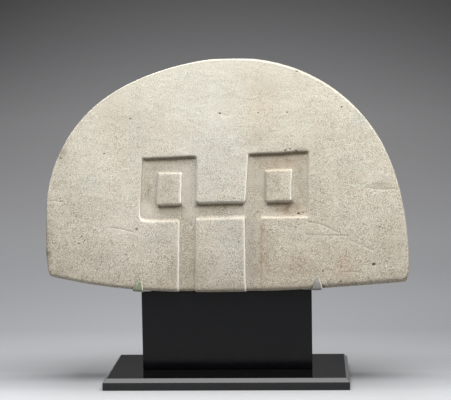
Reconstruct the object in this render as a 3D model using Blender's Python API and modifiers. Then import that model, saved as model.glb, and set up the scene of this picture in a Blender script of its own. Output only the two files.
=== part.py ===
"""A half-moon stone head effigy held upright by its black display mount.

Metres, +Z up. The carved face looks towards -Y, and the origin lies on the table that the base
plate stands on, under the middle of the slab.
"""

import math

import bmesh
import bpy
from mathutils import Matrix, Vector

# Clearance between pieces that rest on or in each other
SEAT_GAP = 0.0004

# Base plate, with a chamfer round its top; the slab was set a little off its middle
PLATE_X = -0.0006
PLATE_WIDTH = 0.335
PLATE_DEPTH = 0.173
PLATE_THICKNESS = 0.0158
PLATE_CHAMFER = 0.005

# Support block; its height is at the lowest point of its hollowed top
BLOCK_X = -0.0014
BLOCK_WIDTH = 0.2357
BLOCK_DEPTH = 0.050
BLOCK_HEIGHT = 0.109
BLOCK_EASED_EDGE = 0.0008
BLOCK_TOP_STEPS = 24

# Stone slab
SLAB_WIDTH = 0.500
SLAB_HEIGHT = 0.320
SLAB_THICKNESS = 0.070
SLAB_EDGE_ROUND = 0.003

# The slab's outline, as shares of its width from its middle and of its height from its lowest
# point. Each side of the crown is a quarter of a superellipse, and the underside is a keel.
CROWN_X = 0.0105
CROWN_STEPS = 40
CROWN_LEFT_FOOT = (-0.4965, 0.355)
CROWN_LEFT_POWER = 1.99
CROWN_RIGHT_FOOT = (0.4995, 0.101)
CROWN_RIGHT_POWER = 2.27
KEEL_X = -0.0234
KEEL_STEPS = 36
LEFT_TOE = (-0.4887, 0.0744)
LEFT_TOE_BOW = 2.45
RIGHT_TOE = (0.4885, 0.0394)
RIGHT_TOE_BOW = 1.73
LEFT_CHEEK = ((-0.4983, 0.300), (-0.5000, 0.234), (-0.4995, 0.163), (-0.4963, 0.119), (-0.4926, 0.0870))
RIGHT_CHEEK = ((0.4931, 0.0460), (0.4983, 0.0870))

# The carving: depths are real sizes. The face is one sunk field with three raised pieces
# between its arms, whose corners are given in turn, anticlockwise, in shares as above.
FIELD_DEPTH = 0.0050
WALL_RUN = 0.0014
FIELD_CORNER_ROUND = 0.0026
PUPIL_CORNER_ROUND = 0.0012
PUPIL_ROOT = 0.0020
CUT_START = 0.0020
GROOVE_END_Z = -0.050
LEFT_GROOVE_END = ((-0.1359, GROOVE_END_Z), (-0.0873, GROOVE_END_Z))
NOSE_TOP = ((-0.0815, 0.3195), (0.0511, 0.3220))
RIGHT_GROOVE_END = ((0.0521, GROOVE_END_Z), (0.0927, GROOVE_END_Z))
RIGHT_EYE = ((0.0989, 0.3215), (0.2263, 0.3212), (0.2287, 0.6035), (0.0629, 0.5942))
FOREHEAD = ((0.0531, 0.3915), (-0.0797, 0.3906))
LEFT_EYE = ((-0.0769, 0.5910), (-0.2227, 0.5828), (-0.2341, 0.3146), (-0.1285, 0.3140))
FACE_FIELD = LEFT_GROOVE_END + NOSE_TOP + RIGHT_GROOVE_END + RIGHT_EYE + FOREHEAD + LEFT_EYE
LEFT_PUPIL = ((-0.1879, 0.3828), (-0.1241, 0.3853), (-0.1205, 0.5151), (-0.1841, 0.5166))
RIGHT_PUPIL = ((0.1093, 0.3934), (0.1783, 0.3937), (0.1815, 0.5247), (0.1103, 0.5209))

# Clips: strips bent up the slab's two faces, with a tongue let into the block's top. Each
# starts so far out from the block's side, and its tip is so far out from where it starts.
CLIP_THICKNESS = 0.0018
CLIP_TONGUE = 0.0140
CLIP_TONGUE_SHOULDER = 0.0020
CLIP_FLARE = 0.0040
CLIP_TIP_WIDTH = 0.0036
CLIP_REACH = 0.0170
CLIP_PATH_STEPS = 6
CLIP_ACROSS_STEPS = 6
LEFT_CLIP_START = -0.0036
LEFT_CLIP_WIDTH = 0.0144
LEFT_CLIP_TIP = 0.0046
RIGHT_CLIP_START = 0.0014
RIGHT_CLIP_WIDTH = 0.0154
RIGHT_CLIP_TIP = 0.0076

# Heights and planes that follow from the sizes above
BLOCK_FOOT_Z = PLATE_THICKNESS + SEAT_GAP
SLAB_LOW_Z = BLOCK_FOOT_Z + BLOCK_HEIGHT + SEAT_GAP
SLAB_FRONT_Y = -SLAB_THICKNESS / 2
OVERSHOOT = 0.010

# Colours are sRGB shares, with roughness and metallic beside them
STONE_FINISH = ("stone", (0.80, 0.77, 0.70), 0.85, 0.0)
ACRYLIC_FINISH = ("black_acrylic", (0.10, 0.10, 0.11), 0.22, 0.0)
CLIP_FINISH = ("painted_clip", (0.63, 0.63, 0.56), 0.50, 0.0)


def new_collection(name):
    collection = bpy.data.collections.new(name)
    bpy.context.scene.collection.children.link(collection)
    return collection


def linear(share):
    """One sRGB channel as the linear value that a shader takes."""
    return share / 12.92 if share <= 0.04045 else ((share + 0.055) / 1.055) ** 2.4


def finish(name, colour, roughness, metallic):
    material = bpy.data.materials.new(name)
    material.use_nodes = True
    shader = material.node_tree.nodes["Principled BSDF"]
    shader.inputs["Base Color"].default_value = (*map(linear, colour), 1.0)
    shader.inputs["Roughness"].default_value = roughness
    shader.inputs["Metallic"].default_value = metallic
    material.diffuse_color = (*map(linear, colour), 1.0)
    return material


def add_object(name, mesh, collection, material=None):
    thing = bpy.data.objects.new(name, mesh)
    collection.objects.link(thing)
    if material:
        mesh.materials.append(material)
    return thing


def make_cutter(thing):
    thing.hide_render = True
    thing.display_type = "WIRE"
    return thing


def mesh_from(name, builder):
    """A mesh from a bmesh, with its faces turned outwards."""
    bmesh.ops.recalc_face_normals(builder, faces=builder.faces)
    mesh = bpy.data.meshes.new(name)
    builder.to_mesh(mesh)
    builder.free()
    return mesh


def shade(thing, sharp_from_degrees=35):
    thing.data.shade_smooth()
    thing.data.set_sharp_from_angle(angle=math.radians(sharp_from_degrees))


def upright_board(name, outline, thickness, collection, material=None):
    """A board cut to an outline drawn in X and Z, as thick along Y as asked, centred on Y = 0."""
    curve = bpy.data.curves.new(name + "_outline", "CURVE")
    curve.dimensions = "2D"
    curve.fill_mode = "BOTH"
    curve.extrude = thickness / 2
    spline = curve.splines.new("POLY")
    spline.points.add(len(outline) - 1)
    for point, (x, z) in zip(spline.points, outline):
        point.co = (x, z, 0, 1)
    spline.use_cyclic_u = True
    drawn = bpy.data.objects.new(name + "_outline", curve)
    collection.objects.link(drawn)
    drawn.rotation_euler = (math.radians(90), 0, 0)
    bpy.context.view_layer.update()
    graph = bpy.context.evaluated_depsgraph_get()
    flat = bpy.data.meshes.new_from_object(drawn.evaluated_get(graph))
    builder = bmesh.new()
    builder.from_mesh(flat)
    bmesh.ops.remove_doubles(builder, verts=builder.verts, dist=0.000001)
    flat_faces = [face for face in builder.faces if abs(face.normal.z) > 0.99]
    bmesh.ops.dissolve_faces(builder, faces=flat_faces)
    board = add_object(name, mesh_from(name, builder), collection, material)
    board.matrix_world = drawn.matrix_world
    bpy.data.objects.remove(drawn)
    return board


def ease_edges(thing, width, segments):
    """Rounds the edges between a board's faces and its rim, and no others."""
    bevel = thing.modifiers.new("eased edges", "BEVEL")
    bevel.width = width
    bevel.segments = segments
    bevel.limit_method = "ANGLE"
    bevel.angle_limit = math.radians(60)


def combine(thing, other, operation):
    step = thing.modifiers.new(other.name, "BOOLEAN")
    step.operation = operation
    step.object = other


def on_slab(share):
    """A point of the slab's face in metres, from shares of its width and height."""
    return Vector((share[0] * SLAB_WIDTH, SLAB_LOW_Z + share[1] * SLAB_HEIGHT))


def underside_z(x):
    """Height of the slab's keel-shaped underside at a place along X."""
    along = x / SLAB_WIDTH
    toe, bow = (LEFT_TOE, LEFT_TOE_BOW) if along < KEEL_X else (RIGHT_TOE, RIGHT_TOE_BOW)
    share = (along - KEEL_X) / (toe[0] - KEEL_X)
    return SLAB_LOW_Z + SLAB_HEIGHT * toe[1] * share**bow


def crown_quarter(foot, power):
    """Points from a side's foot up to the crown's top, along a quarter of a superellipse."""
    points = []
    for step in range(CROWN_STEPS + 1):
        angle = math.radians(90) * step / CROWN_STEPS
        across = abs(math.cos(angle)) ** (2 / power)
        up = abs(math.sin(angle)) ** (2 / power)
        points.append(on_slab((CROWN_X + (foot[0] - CROWN_X) * across, foot[1] + (1 - foot[1]) * up)))
    return points


def slab_outline():
    """The slab's outline seen from the front, anticlockwise from its left toe."""
    toe_to_toe = (RIGHT_TOE[0] - LEFT_TOE[0]) * SLAB_WIDTH
    keel = []
    for step in range(KEEL_STEPS + 1):
        x = LEFT_TOE[0] * SLAB_WIDTH + toe_to_toe * step / KEEL_STEPS
        keel.append(Vector((x, underside_z(x))))
    right = crown_quarter(CROWN_RIGHT_FOOT, CROWN_RIGHT_POWER)
    left = crown_quarter(CROWN_LEFT_FOOT, CROWN_LEFT_POWER)
    left.reverse()
    return (
        keel
        + [on_slab(share) for share in RIGHT_CHEEK]
        + right
        + left[1:]
        + [on_slab(share) for share in LEFT_CHEEK]
    )


def round_corners(points, radius, steps=3):
    """The same polygon with each corner swapped for a short curve."""
    rounded = []
    for before, corner, after in zip(points[-1:] + points[:-1], points, points[1:] + points[:1]):
        start = corner + (before - corner).normalized() * radius
        end = corner + (after - corner).normalized() * radius
        for step in range(steps + 1):
            t = step / steps
            rounded.append(start * (1 - t) ** 2 + corner * 2 * t * (1 - t) + end * t**2)
    return rounded


def grow(points, distance):
    """An anticlockwise polygon with each side moved outwards, or inwards if negative."""
    grown = []
    for before, corner, after in zip(points[-1:] + points[:-1], points, points[1:] + points[:1]):
        first, second = (corner - before).normalized(), (after - corner).normalized()
        out = Vector((first.y + second.y, -first.x - second.x))
        grown.append(corner + out * distance / (1 + first.dot(second)))
    return grown


def loft_between(name, near, near_y, far, far_y, collection):
    """A closed solid between two outlines of as many points, on two planes across Y."""
    builder = bmesh.new()
    near_ring = [builder.verts.new((p.x, near_y, p.y)) for p in near]
    far_ring = [builder.verts.new((p.x, far_y, p.y)) for p in far]
    builder.faces.new(near_ring)
    builder.faces.new(far_ring)
    for at in range(len(near)):
        nearer = near_ring[at - 1], near_ring[at]
        builder.faces.new((*nearer, far_ring[at], far_ring[at - 1]))
    return make_cutter(add_object(name, mesh_from(name, builder), collection))


def sunk_field(name, corners, depth, collection):
    """A cutter whose walls lean outwards from the field's floor, and on past the slab's face."""
    mouth = round_corners([on_slab(share) for share in corners], FIELD_CORNER_ROUND)
    above = grow(mouth, WALL_RUN * CUT_START / depth)
    floor = grow(mouth, -WALL_RUN)
    top_y, floor_y = SLAB_FRONT_Y - CUT_START, SLAB_FRONT_Y + depth
    return loft_between(name, above, top_y, floor, floor_y, collection)


def raised_field(name, corners, collection):
    """A pupil left standing in a sunk eye, level with the slab's face and rooted in the stone."""
    top = round_corners([on_slab(share) for share in corners], PUPIL_CORNER_ROUND)
    root_depth = FIELD_DEPTH + PUPIL_ROOT
    root = grow(top, WALL_RUN * root_depth / FIELD_DEPTH)
    return loft_between(name, top, SLAB_FRONT_Y, root, SLAB_FRONT_Y + root_depth, collection)


def make_slab(collection, helpers, material):
    slab = upright_board("effigy_slab", slab_outline(), SLAB_THICKNESS, collection, material)
    ease_edges(slab, SLAB_EDGE_ROUND, segments=3)
    face = sunk_field("face_field", FACE_FIELD, FIELD_DEPTH, helpers)
    combine(slab, face, "DIFFERENCE")
    for name, corners in (("left_pupil", LEFT_PUPIL), ("right_pupil", RIGHT_PUPIL)):
        combine(slab, raised_field(name, corners, helpers), "UNION")
    return slab


def make_plate(collection, material):
    builder = bmesh.new()
    size = Matrix.Diagonal((PLATE_WIDTH, PLATE_DEPTH, PLATE_THICKNESS, 1))
    lift = Matrix.Translation((PLATE_X, 0, PLATE_THICKNESS / 2))
    bmesh.ops.create_cube(builder, size=1, matrix=lift @ size)
    middle_z = PLATE_THICKNESS / 2
    top_edges = [e for e in builder.edges if all(v.co.z > middle_z for v in e.verts)]
    bmesh.ops.bevel(
        builder, geom=top_edges, offset=PLATE_CHAMFER, segments=1, affect="EDGES"
    )
    return add_object("base_plate", mesh_from("base_plate", builder), collection, material)


def clip_side(side):
    """Which way a clip lies from the block's middle, and where it starts, its width and tip."""
    if side == "left":
        return -1, LEFT_CLIP_START, LEFT_CLIP_WIDTH, LEFT_CLIP_TIP
    return 1, RIGHT_CLIP_START, RIGHT_CLIP_WIDTH, RIGHT_CLIP_TIP


def block_rebate(side, collection):
    """The step in the block's top that takes a clip's tongue."""
    way = clip_side(side)[0]
    inner = BLOCK_WIDTH / 2 - CLIP_TONGUE - SEAT_GAP
    outer = BLOCK_WIDTH / 2 + OVERSHOOT
    floor_z = underside_z(BLOCK_X + way * inner) - CLIP_THICKNESS - 3 * SEAT_GAP
    top_z = SLAB_LOW_Z + SLAB_HEIGHT / 4
    size = Matrix.Diagonal((outer - inner, BLOCK_DEPTH + OVERSHOOT, top_z - floor_z, 1))
    middle = BLOCK_X + way * (inner + outer) / 2
    place = Matrix.Translation((middle, 0, (floor_z + top_z) / 2))
    builder = bmesh.new()
    bmesh.ops.create_cube(builder, size=1, matrix=place @ size)
    name = side + "_rebate"
    return make_cutter(add_object(name, mesh_from(name, builder), collection))


def make_block(collection, helpers, material):
    """The block, with its top hollowed to the slab's underside."""
    left_x, right_x = BLOCK_X - BLOCK_WIDTH / 2, BLOCK_X + BLOCK_WIDTH / 2
    top = []
    for step in range(BLOCK_TOP_STEPS + 1):
        x = right_x - BLOCK_WIDTH * step / BLOCK_TOP_STEPS
        top.append((x, underside_z(x) - SEAT_GAP))
    foot = [(left_x, BLOCK_FOOT_Z), (right_x, BLOCK_FOOT_Z)]
    block = upright_board("support_block", foot + top, BLOCK_DEPTH, collection, material)
    ease_edges(block, BLOCK_EASED_EDGE, segments=1)
    for side in ("left", "right"):
        combine(block, block_rebate(side, helpers), "DIFFERENCE")
    return block


def clip_path():
    """A clip's inner line in side view, from its front tip under the slab to its back tip.

    Each point has its Y, its height over the slab's underside, how much of the taper to the
    tip is done, and how much of the tongue's width there is.
    """
    face = SLAB_THICKNESS / 2 + SEAT_GAP
    bend = SLAB_EDGE_ROUND
    shoulder = BLOCK_DEPTH / 2 - CLIP_TONGUE_SHOULDER
    front = []
    for step in range(CLIP_PATH_STEPS + 1):
        height = CLIP_REACH + (bend - SEAT_GAP - CLIP_REACH) * step / CLIP_PATH_STEPS
        front.append((-face, height, (height - bend) / (CLIP_REACH - bend), 0))
    for step in range(1, CLIP_PATH_STEPS + 1):
        angle = math.radians(90) * step / CLIP_PATH_STEPS
        y = -face + bend * (1 - math.cos(angle))
        front.append((y, bend * (1 - math.sin(angle)) - SEAT_GAP, 0, 0))
    front.append((-shoulder - CLIP_FLARE, -SEAT_GAP, 0, 0))
    front.append((-shoulder, -SEAT_GAP, 0, 1))
    back = [(-y, height, taper, tongue) for y, height, taper, tongue in reversed(front)]
    return front + back


def make_clip(side, collection, material):
    """A flat grid bent along the path and tapered to its tips, then given its thickness."""
    way, start, width, tip = clip_side(side)
    start_out = BLOCK_WIDTH / 2 + start
    path = clip_path()
    name = "clip_" + side
    builder = bmesh.new()
    rows, columns = len(path) - 1, CLIP_ACROSS_STEPS
    grid = bmesh.ops.create_grid(builder, x_segments=columns, y_segments=rows, size=0.5)
    for vert in grid["verts"]:
        across = vert.co.x + 0.5
        y, height, taper, tongue = path[round((vert.co.y + 0.5) * rows)]
        taper = max(taper, 0)
        near = start_out + taper * (tip - CLIP_TIP_WIDTH / 2) - tongue * (start + CLIP_TONGUE)
        far = start_out + width + taper * (tip + CLIP_TIP_WIDTH / 2 - width)
        x = BLOCK_X + way * (near + (far - near) * across)
        vert.co = (x, y, underside_z(x) + height)
    clip = add_object(name, mesh_from(name, builder), collection, material)
    upward = sum(1 for face in clip.data.polygons if face.normal.z > 0.5)
    shell = clip.modifiers.new("strip thickness", "SOLIDIFY")
    shell.thickness = CLIP_THICKNESS
    shell.offset = -1 if upward else 1
    shell.use_even_offset = True
    return clip


def main():
    for leftover in list(bpy.data.objects):
        bpy.data.objects.remove(leftover)
    effigy = new_collection("head_effigy")
    helpers = new_collection("cutters")
    stone, acrylic = finish(*STONE_FINISH), finish(*ACRYLIC_FINISH)
    clip_paint = finish(*CLIP_FINISH)
    shade(make_slab(effigy, helpers, stone))
    shade(make_block(effigy, helpers, acrylic))
    shade(make_plate(effigy, acrylic))
    for side in ("left", "right"):
        shade(make_clip(side, effigy, clip_paint))


main()
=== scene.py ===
# %% [markdown]
# # A stone head effigy on its display mount
# The object is a half-moon slab of pale, porous limestone, cut thousands of years ago into the
# plainest possible face: two square eyes, a bridge and a long nose, all sunk a few millimetres.
# It stands on a modern black acrylic mount, and two small painted clips hold it.
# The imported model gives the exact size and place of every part, so it is loaded first, and
# everything made here is fitted to it.

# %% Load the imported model
import math

import bpy
import numpy as np
from mathutils import Matrix, Vector
from mathutils.geometry import delaunay_2d_cdt


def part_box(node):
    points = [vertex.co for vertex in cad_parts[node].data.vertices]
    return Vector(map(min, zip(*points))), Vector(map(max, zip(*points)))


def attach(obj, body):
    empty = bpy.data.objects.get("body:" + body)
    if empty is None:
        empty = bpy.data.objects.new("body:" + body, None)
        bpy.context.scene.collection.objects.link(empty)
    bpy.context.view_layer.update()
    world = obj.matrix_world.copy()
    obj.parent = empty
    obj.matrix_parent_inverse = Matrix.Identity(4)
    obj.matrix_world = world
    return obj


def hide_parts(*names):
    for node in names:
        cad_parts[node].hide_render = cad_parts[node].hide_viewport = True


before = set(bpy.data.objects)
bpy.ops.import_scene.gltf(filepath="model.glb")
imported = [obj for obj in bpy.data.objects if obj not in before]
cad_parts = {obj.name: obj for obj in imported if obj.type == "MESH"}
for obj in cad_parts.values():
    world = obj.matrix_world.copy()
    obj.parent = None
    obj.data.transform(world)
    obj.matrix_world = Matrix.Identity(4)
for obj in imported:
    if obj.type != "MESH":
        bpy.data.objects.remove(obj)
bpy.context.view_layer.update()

MM = 0.001
slab_low, slab_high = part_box("effigy_slab")
print("parts:", ", ".join(sorted(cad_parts)))
print("slab:", [round(v / MM, 1) for v in slab_high - slab_low], "mm")

# %% [markdown]
# The camera comes first, because it decides how much detail a surface needs. The photograph was
# taken from about two metres with a long lens, a little above the slab and a little to its right.
# A long lens keeps the slab's edges from spreading apart, so its sides stay hidden. The camera is
# turned with pitch and yaw, rather than shifted, so that it also works from other angles.

# %% Set up the camera
PICTURE_WIDE, PICTURE_HIGH = 451, 400
LENS_PIXELS = 1550
CAMERA_SPOT = Vector((0.12235, -2.14078, 0.46513))
YAW, PITCH, ROLL = (math.radians(angle) for angle in (-3.322, -5.728, -0.904))

ahead = Vector((math.sin(YAW) * math.cos(PITCH), math.cos(YAW) * math.cos(PITCH), math.sin(PITCH)))
level = Vector((math.cos(YAW), -math.sin(YAW), 0))
above = level.cross(ahead)
rightward = level * math.cos(ROLL) + above * math.sin(ROLL)
upward = above * math.cos(ROLL) - level * math.sin(ROLL)

lens = bpy.data.cameras.new("camera")
lens.sensor_width = 36
lens.lens = LENS_PIXELS * lens.sensor_width / PICTURE_WIDE
camera = bpy.data.objects.new("camera", lens)
camera_turn = Matrix((rightward, upward, -ahead)).transposed().to_4x4()
camera.matrix_world = Matrix.Translation(CAMERA_SPOT) @ camera_turn
bpy.context.collection.objects.link(camera)
bpy.context.scene.camera = camera
print("lens:", round(lens.lens, 1), "mm")

# %% [markdown]
# Marks on the stone are easiest to place by looking at the photograph. This function follows the
# line of sight through a place in the picture until it meets the slab's face, so that a mark can
# be written down where it is seen, and still lies on the stone from every side.

# %% Find a place on the face
FACE_Y = slab_low.y
PIXEL = 1.36 * MM  # what one pixel of the picture covers on the face


def on_face(across, down):
    """X and Z of the slab's face at a place in the picture, counted in pixels from its top left."""
    sight = (ahead * LENS_PIXELS + rightward * (across - PICTURE_WIDE / 2)
             + upward * (PICTURE_HIGH / 2 - down))
    share = (FACE_Y - CAMERA_SPOT.y) / sight.y
    return CAMERA_SPOT.x + sight.x * share, CAMERA_SPOT.z + sight.z * share


print("nose foot at", [round(v / MM) for v in on_face(220, 285)], "mm")

# %% [markdown]
# The slab's outline was cut by hand. Its crown is a half-moon that is fuller on the right, made
# of two quarter curves, and its underside is a shallow keel. The shape can be written as shares
# of the slab's own width and height, as a mason would set it out, so it follows the model's size.

# %% Set out the half-moon
FULL_WIDTH = (slab_high.x - slab_low.x) / 0.9995
FULL_HEIGHT = slab_high.z - slab_low.z
CROWN_X = 0.0105
CROWN_LEFT_FOOT, CROWN_LEFT_POWER = (-0.4965, 0.355), 1.99
CROWN_RIGHT_FOOT, CROWN_RIGHT_POWER = (0.4995, 0.101), 2.27
KEEL_X = -0.0234
LEFT_TOE, LEFT_TOE_BOW = (-0.4887, 0.0744), 2.45
RIGHT_TOE, RIGHT_TOE_BOW = (0.4885, 0.0394), 1.73
KEEL_REACH = 0.24  # metres either way along X; places past it count as being there
LEFT_CHEEK = ((-0.4983, 0.300), (-0.5000, 0.234), (-0.4995, 0.163),
              (-0.4963, 0.119), (-0.4926, 0.0870))
RIGHT_CHEEK = ((0.4931, 0.0460), (0.4983, 0.0870))


def on_slab(shares):
    """Metres from shares of the slab's width, from its middle, and of its height."""
    return np.asarray(shares, float) * (FULL_WIDTH, FULL_HEIGHT) + (0, slab_low.z)


def underside(x):
    """Height of the keel at places along X."""
    along = np.asarray(x, float) / FULL_WIDTH
    left = along < KEEL_X
    toe_x = np.where(left, LEFT_TOE[0], RIGHT_TOE[0])
    toe_z = np.where(left, LEFT_TOE[1], RIGHT_TOE[1])
    share = (along - KEEL_X) / (toe_x - KEEL_X)
    return slab_low.z + FULL_HEIGHT * toe_z * share ** np.where(left, LEFT_TOE_BOW, RIGHT_TOE_BOW)


def over_keel(x, z):
    """Height of places on the face above the slab's underside."""
    return z - underside(x.clip(-KEEL_REACH, KEEL_REACH))


def crown_quarter(foot, power, steps=200):
    """One side of the crown, from its foot up to the top. A power of 2 would be an ellipse."""
    angle = np.linspace(0, math.pi / 2, steps)
    across, rise = np.cos(angle).clip(0) ** (2 / power), np.sin(angle) ** (2 / power)
    x, z = CROWN_X + (foot[0] - CROWN_X) * across, foot[1] + (1 - foot[1]) * rise
    return on_slab(np.stack([x, z], 1))


keel_x = np.linspace(LEFT_TOE[0], RIGHT_TOE[0], 400) * FULL_WIDTH
drawn_outline = np.concatenate([
    np.stack([keel_x, underside(keel_x)], 1),
    on_slab(RIGHT_CHEEK),
    crown_quarter(CROWN_RIGHT_FOOT, CROWN_RIGHT_POWER),
    crown_quarter(CROWN_LEFT_FOOT, CROWN_LEFT_POWER)[-2::-1],
    on_slab(LEFT_CHEEK),
])
print("outline points:", len(drawn_outline))

# %% [markdown]
# Stone worked with stone is never quite even: the outline swells and dips by about a millimetre,
# and every arris is rubbed. Smooth random waves give that. They come from a small table of random
# numbers with a fixed seed, so each run gives the same stone.

# %% Make smooth random waves
def waves(x, z, size_x, size_z, seed):
    """Smooth waves between -1 and 1 over a plane, each about so many metres long and high."""
    table = np.random.RandomState(seed).uniform(-1, 1, (61, 67))
    u, v = x / size_x + 1000, z / size_z + 1000
    i, j = np.floor(u).astype(int), np.floor(v).astype(int)
    u, v = u - i, v - j
    u, v = u * u * (3 - 2 * u), v * v * (3 - 2 * v)
    i, j, next_i, next_j = i % 61, j % 67, (i + 1) % 61, (j + 1) % 67
    low = table[i, j] * (1 - u) + table[next_i, j] * u
    high = table[i, next_j] * (1 - u) + table[next_i, next_j] * u
    return low * (1 - v) + high * v


def ease(value, low, high):
    """0 below low, 1 above high, and a smooth turn between them."""
    share = ((value - low) / (high - low)).clip(0, 1)
    return share * share * (3 - 2 * share)


def spread_evenly(line, spacing):
    """The same closed line with its points evenly spaced."""
    loop = np.concatenate([line, line[:1]])
    run = np.concatenate([[0], np.cumsum(np.linalg.norm(np.diff(loop, axis=0), axis=1))])
    places = np.linspace(0, run[-1], max(3, round(run[-1] / spacing)), endpoint=False)
    return np.stack([np.interp(places, run, loop[:, axis]) for axis in (0, 1)], 1)


def inward_of(line):
    """Unit vectors that point into a closed anticlockwise line, one at each of its points."""
    along = np.roll(line, -1, 0) - np.roll(line, 1, 0)
    return np.stack([-along[:, 1], along[:, 0]], 1) / np.linalg.norm(along, axis=1)[:, None]


print("wave check:", round(float(waves(np.array([0.1]), np.array([0.2]), 0.01, 0.01, 1)[0]), 3))

# %% Cut the outline by hand
OUTLINE_SPACING = 1.6 * MM
# How far the cut edge lies inside the set-out curve, every 12 degrees from the right cheek, in mm
SWELL = (0.3, 0.4, -0.35, -0.9, 0.6, 1.4, 0.95, -0.1, -1.6, 0.3, 1.0, -0.1, -1.7, -0.9, 0.7, 1.1, 0.7)

outline = spread_evenly(drawn_outline, OUTLINE_SPACING)
middle = np.array((0.004, slab_low.z + 0.335 * FULL_HEIGHT))
turn = np.degrees(np.arctan2(outline[:, 1] - middle[1], outline[:, 0] - middle[0]))
turn = np.where(turn < -90, turn + 360, turn)
swell_turns = -6 + 12 * np.arange(len(SWELL))
swell = sum(np.interp(turn + lean, swell_turns, SWELL) for lean in (-4, 0, 4)) / 3 * MM
swell *= ease(turn, -14, -6) * ease(-turn, -196, -186)
reach_out = (outline - middle) / np.linalg.norm(outline - middle, axis=1)[:, None]
outline = outline - reach_out * swell[:, None]
rub = waves(outline[:, 0], outline[:, 1], 9 * MM, 9 * MM, 3) * 0.5 + 0.5
outline = outline + inward_of(outline) * (rub * 0.22 * MM)[:, None]
# The crown's top is eased down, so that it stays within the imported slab
EASE_OFF = 1.6 * MM
over = (outline[:, 1] - slab_high.z + EASE_OFF).clip(0)
outline[:, 1] = np.where(over > 0, slab_high.z - EASE_OFF * np.exp(-over / EASE_OFF), outline[:, 1])
outline[:, 0] = outline[:, 0].clip(slab_low.x, slab_high.x)
outline[:, 1] = outline[:, 1].clip(slab_low.z, slab_high.z)
print("outline:", len(outline), "points,", round(np.ptp(outline[:, 0]) / MM, 1), "mm wide")

# %% [markdown]
# The face is one sunk field. Its two eyes, the bridge between them and the two cheek grooves are
# joined, and what is left standing between them is the nose, the forehead and two square pupils.
# It is drawn as one line round the whole field and one round each pupil, like lines scribed on
# the stone before cutting. Each line is then made a little unsteady.

# %% Scribe the carving
GROOVE_END = -0.050
FIELD = (
    (-0.1364, GROOVE_END), (-0.0873, GROOVE_END), (-0.0815, 0.3166), (0.0499, 0.3191),
    (0.0509, GROOVE_END), (0.0987, GROOVE_END), (0.1009, 0.3195), (0.2263, 0.3192),
    (0.2287, 0.6072), (0.0629, 0.5979), (0.0531, 0.3930), (-0.0797, 0.3921),
    (-0.0769, 0.5923), (-0.2279, 0.5840), (-0.2393, 0.3088), (-0.1290, 0.3082),
)
LEFT_PUPIL = ((-0.1879, 0.3840), (-0.1241, 0.3865), (-0.1205, 0.5151), (-0.1841, 0.5166))
RIGHT_PUPIL = ((0.1106, 0.3946), (0.1783, 0.3949), (0.1815, 0.5247), (0.1116, 0.5209))


def scribed(shares, rounds, seed):
    """A carved line: straight sides, each corner turned with its own short curve, drawn by hand."""
    corners, line = on_slab(shares), []
    befores, afters = np.roll(corners, 1, 0), np.roll(corners, -1, 0)
    for before, corner, after, corner_round in zip(befores, corners, afters, rounds):
        start = corner + (before - corner) / np.linalg.norm(before - corner) * corner_round
        end = corner + (after - corner) / np.linalg.norm(after - corner) * corner_round
        for t in np.linspace(0, 1, 6):
            line.append(start * (1 - t) ** 2 + corner * 2 * t * (1 - t) + end * t * t)
    line = spread_evenly(np.array(line), 1.1 * MM)
    x, z = line[:, 0], line[:, 1]
    shake = waves(x, z, 11 * MM, 11 * MM, seed) + 0.4 * waves(x, z, 4 * MM, 4 * MM, seed + 1)
    return line + inward_of(line) * (0.28 * MM * shake)[:, None]


field_rounds = [2.6 * MM] * len(FIELD)
# The left eye's upper right and lower left corners are turned wider
field_rounds[FIELD.index((-0.0769, 0.5923))] = 4.5 * MM
field_rounds[FIELD.index((-0.2393, 0.3088))] = 11.0 * MM
field_line = scribed(FIELD, field_rounds, 11)
pupil_rounds = [1.3 * MM] * 4
pupil_lines = [scribed(LEFT_PUPIL, pupil_rounds, 13), scribed(RIGHT_PUPIL, pupil_rounds, 15)]
print("scribed lines:", len(field_line), [len(line) for line in pupil_lines])

# %% [markdown]
# To cut the stone, the script needs to know how far each place is from each line, and on which
# side. This is the same question that a mason answers with a rule, and it is measured here for
# all the points at once.

# %% Measure from a line
def measure_from(points, line):
    """Distance of points to a closed line, positive inside it, and the line's nearest point."""
    best = np.full(len(points), 1e9)
    nearest = np.zeros(len(points), int)
    inside = np.zeros(len(points), bool)
    x, z = points[:, 0].copy(), points[:, 1].copy()
    for at in range(len(line)):
        (ax, az), (bx, bz) = line[at], line[(at + 1) % len(line)]
        dx, dz = bx - ax, bz - az
        share = (((x - ax) * dx + (z - az) * dz) / (dx * dx + dz * dz)).clip(0, 1)
        away = (x - ax - share * dx) ** 2 + (z - az - share * dz) ** 2
        closer = away < best
        best[closer] = away[closer]
        nearest[closer] = at
        if az != bz:
            crosses = (az > z) != (bz > z)
            inside ^= crosses & (x < ax + (z - az) * dx / dz)
    return np.where(inside, 1, -1) * np.sqrt(best), nearest


nose_gap = measure_from(np.array([on_face(220, 250)]), field_line)[0][0]
print("nose is", round(float(nose_gap / MM), 1), "mm from the field")

# %% [markdown]
# The walls of the carving aren't alike. The ledge over the eyes is steep and throws the dark
# bands of the photograph, while the walls that face up or towards the light are worn to slopes
# that catch it, and the right cheek groove fades out to the right. So each stretch of a line has
# its own wall run: the width of the slope between the face and the floor.

# %% Give each wall its slope
MOSTLY = 0.7  # of a unit vector, which is then within about 45 degrees of that way


def smooth_along(values, times=2):
    """Evens out values along a line, each with its two neighbours on either side."""
    for _ in range(times):
        values = sum(np.roll(values, step) for step in (0, 1, -1, 2, -2)) / 5
    return values


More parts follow.
